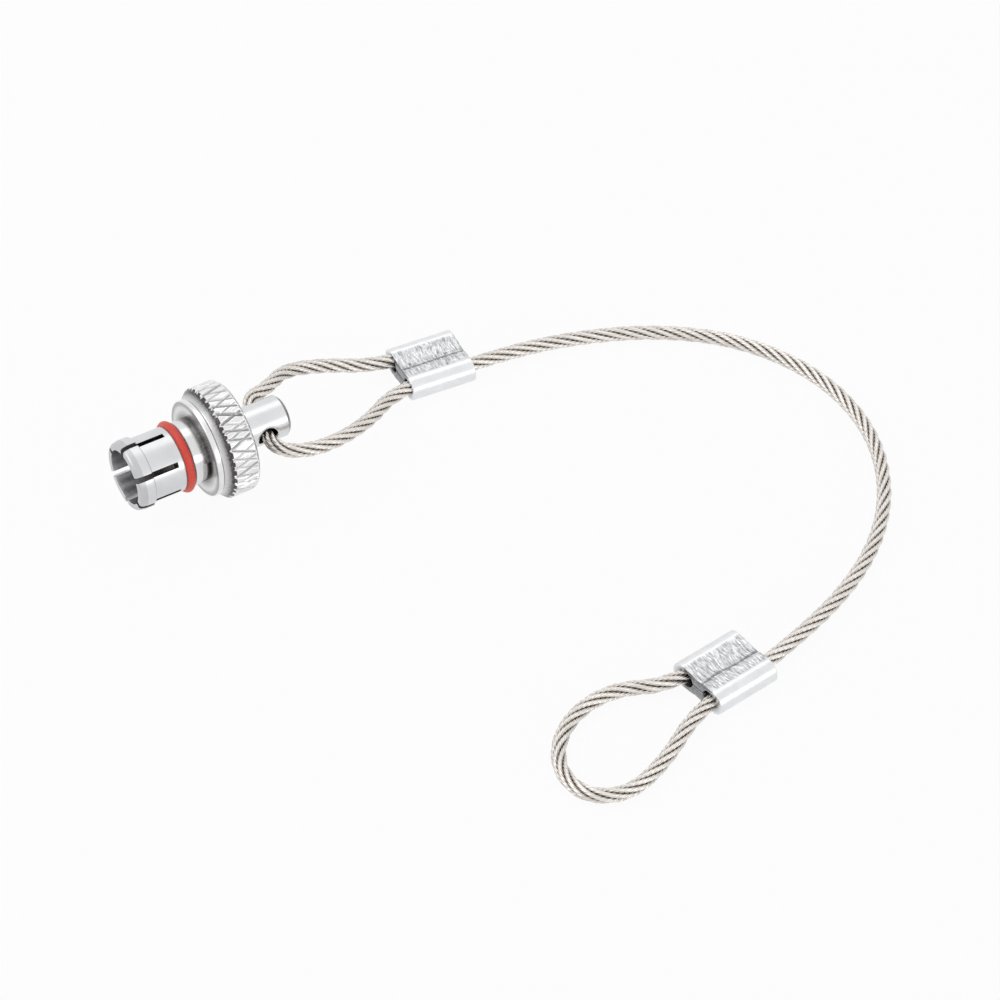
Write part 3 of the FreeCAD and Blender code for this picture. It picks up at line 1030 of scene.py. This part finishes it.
def ripples(length, side, top, seed):
    """The press's mark on a flat: curved ripples across it and one deeper seam along it."""
    bow = 1.6 * math.cos(side * 600) + 2.0 * noise.noise(Vector((length * 800, side * 700, seed)))
    bands = noise.noise(Vector((length * 6600 + bow, side * 1300, seed * 3.1 + 9 * top)))
    fine = noise.noise(Vector((length * 10500 + bow, side * 3600, seed * 1.7 + 5 * top)))
    seam_at = (-0.55 + 0.25 * noise.noise(Vector((length * 350, seed, 0)))) * MM
    seam = math.exp(-((side - seam_at) / (0.13 * MM)) ** 2)
    return ripple_depth * (0.62 * bands + 0.34 * fine - 0.75 * seam)


def pressed_in(side):
    """How far the press has sunk the flat, this far from its middle line."""
    return press_dip * math.cos(min(1, abs(side) / press_half) * math.pi / 2) ** 2


def pressed_sleeve(name, legs, seed):
    """The sleeve in its own frame: X along the rope, Z up from its middle."""
    verts = []
    faces = []
    rows = []
    half = ferrule_length / 2
    stations = [(-half, end_ease * 1.0), (-half + 0.25 * end_ease, 0.34 * end_ease),
                (-half + 0.6 * end_ease, 0.08 * end_ease)]
    stations += [(-half + end_ease + (ferrule_length - 2 * end_ease) * step / sleeve_along, 0)
                 for step in range(sleeve_along + 1)]
    stations += [(-station, inset) for station, inset in reversed(stations[:3])]
    for station, inset in stations:
        rows.append(len(verts))
        for index in range(sleeve_around):
            side, rise, flat = stadium(index / sleeve_around, inset)
            if flat:
                edge = min(1, (ferrule_width / 2 - ferrule_height / 2 - abs(side)) / (0.3 * MM))
                rise += math.copysign(edge, rise) * (ripples(station, side, rise > 0, seed)
                                                     - 0.6 * ripple_depth - pressed_in(side))
            else:
                rise += 0.05 * ripple_depth * noise.noise(Vector((station * 300, side * 2500, seed)))
            verts.append(Vector((station, side, rise)))
    inner = [(half, channel_ease), (half - 0.4 * channel_ease, 0.3 * channel_ease)]
    inner += [(half - channel_ease - (ferrule_length - 2 * channel_ease) * step / 12, 0)
              for step in range(13)]
    inner += [(-half + 0.4 * channel_ease, 0.3 * channel_ease), (-half, channel_ease)]
    for station, grow in inner:
        rows.append(len(verts))
        for index in range(sleeve_around):
            side, rise = channel(index / sleeve_around, legs, grow)
            verts.append(Vector((station, side, rise)))
    for this, after in zip(rows, rows[1:] + rows[:1]):
        for index in range(sleeve_around):
            ahead = (index + 1) % sleeve_around
            faces.append((this + index, this + ahead, after + ahead, after + index))
    return new_piece(name, verts, faces)


aluminium, nodes, links, shader = blank_material("pressed_aluminium")
place = in_millimetres(nodes, links)
cloud = speckle(nodes, links, place, 1.1, detail=4)
grain = speckle(nodes, links, place, 14, detail=3)
# the last colour is the painted shade in the channel and the ripples' hollows
shaded_colour(nodes, links, shader, spread(nodes, links, cloud, 0, 1),
              (0.74, 0.75, 0.77), (0.82, 0.825, 0.84), (0.20, 0.205, 0.215), scale=3.0)
links.new(spread(nodes, links, grain, 0.22, 0.34), shader.inputs["Roughness"])
shader.inputs["Metallic"].default_value = 1
bumps(nodes, links, shader, [(grain, 0.0008)])


def ferrule_recess(place):
    """Painted shade: dark in the channel, and grey in the hollows between the press's ripples."""
    half_height = ferrule_height / 2
    flat = (ferrule_width - ferrule_height) / 2
    inner = abs(place.z) < half_height - 0.5 * MM and abs(place.y) < flat
    if inner or math.hypot(max(0, abs(place.y) - flat), place.z) < half_height - 0.25 * MM:
        return 0.9
    if abs(place.y) < flat:
        sunk = half_height - pressed_in(place.y) - abs(place.z)
        return 0.16 + 0.72 * (sunk - 0.40 * ripple_depth) / (0.8 * ripple_depth)
    return 0


for name, (node, (across, along), heading, legs, seed) in ferrules.items():
    sleeve = pressed_sleeve(name, legs, seed)
    mark_recesses(sleeve, ferrule_recess)
    middle = Matrix.Translation((across * MM, along * MM, ferrule_height / 2))
    sleeve.data.transform(middle @ Matrix.Rotation(math.radians(heading), 4, "Z"))
    even_shading(sleeve, crease=60)
    sleeve.data.materials.append(aluminium)
    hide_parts(node)
    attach(sleeve, "lanyard")

# ---------------------------------------------------------------- table and light
# The plug lies on a pale table in an evenly lit white room. The table keeps a faint
# shadow, and the eye sees the room through it, so nothing that swings below it is lost.
# Three large soft lamps give the metal its bright bands.


def mirrored(nodes, links):
    """1 for rays that metal or glass sends on."""
    path = nodes.new("ShaderNodeLightPath")
    return maths(nodes, links, "MAXIMUM", path.outputs["Is Glossy Ray"],
                 path.outputs["Is Transmission Ray"])


room = bpy.data.worlds.new("white_room")
room.use_nodes = True
nodes, links = room.node_tree.nodes, room.node_tree.links
nodes["Background"].inputs["Color"].default_value = (1, 1, 1, 1)
room_light = nodes.new("ShaderNodeMapRange")
room_light.inputs["To Min"].default_value = 0.55
room_light.inputs["To Max"].default_value = 1.0
eye = nodes.new("ShaderNodeLightPath")
links.new(maths(nodes, links, "MAXIMUM", eye.outputs["Is Camera Ray"], mirrored(nodes, links)),
          room_light.inputs["Value"])
links.new(room_light.outputs[0], nodes["Background"].inputs["Strength"])
bpy.context.scene.world = room

table_half = 0.9
table_keeps_shadow = 0.06
corners = [Vector((across, along, 0)) * table_half
           for across, along in ((-1, -1), (1, -1), (1, 1), (-1, 1))]
table = new_piece("table_top", corners, [(0, 1, 2, 3)])
table_white, nodes, links, shader = blank_material("white_table")
shader.inputs["Base Color"].default_value = (0.9, 0.9, 0.9, 1)
shader.inputs["Roughness"].default_value = 0.9
below = shader.outputs[0]
eye = nodes.new("ShaderNodeLightPath")
for kind, seen_by in (("ShaderNodeEmission", mirrored(nodes, links)),
                      ("ShaderNodeBsdfTransparent", eye.outputs["Is Camera Ray"])):
    cover = nodes.new(kind)
    blend = nodes.new("ShaderNodeMixShader")
    links.new(maths(nodes, links, "MULTIPLY", seen_by, 1 - table_keeps_shadow), blend.inputs[0])
    links.new(below, blend.inputs[1])
    links.new(cover.outputs[0], blend.inputs[2])
    below = blend.outputs[0]
links.new(below, nodes["Material Output"].inputs["Surface"])
table.data.materials.append(table_white)

looked_at = Vector((23.88, -16.48, 0)) * MM


def aimed(name, data, azimuth, elevation, distance):
    """A lamp or camera at this bearing, in degrees, aimed at the middle of the part."""
    thing = bpy.data.objects.new(name, data)
    bearing, rise = math.radians(azimuth), math.radians(elevation)
    away = Vector((math.sin(bearing) * math.cos(rise), -math.cos(bearing) * math.cos(rise),
                   math.sin(rise)))
    thing.location = looked_at + away * distance
    thing.rotation_euler = away.to_track_quat("Z", "Y").to_euler()
    bpy.context.scene.collection.objects.link(thing)
    return thing


def lamp(name, azimuth, elevation, distance, size, power):
    """A soft rectangular lamp."""
    light = bpy.data.lights.new(name, "AREA")
    light.shape = "RECTANGLE"
    light.size, light.size_y = size
    light.energy = power
    aimed(name, light, azimuth, elevation, distance)


lamp("key_lamp", -110, 50, 0.7, (0.5, 0.5), 0.9)
lamp("front_lamp", 20, 12, 0.8, (0.8, 0.26), 0.95)
lamp("back_lamp", 150, 60, 0.8, (0.6, 0.4), 0.35)

# ---------------------------------------------------------------- camera
# A long lens 400 mm from the part, looking down at it from the nose's side. The whole
# lanyard is in view.

lens = bpy.data.cameras.new("camera")
lens.sensor_width = 36
lens.lens = 146.16
lens.clip_start = 0.01
bpy.context.scene.camera = aimed("camera", lens, -31.2, 44, 400 * MM)
bpy.context.scene.view_settings.view_transform = "Standard"
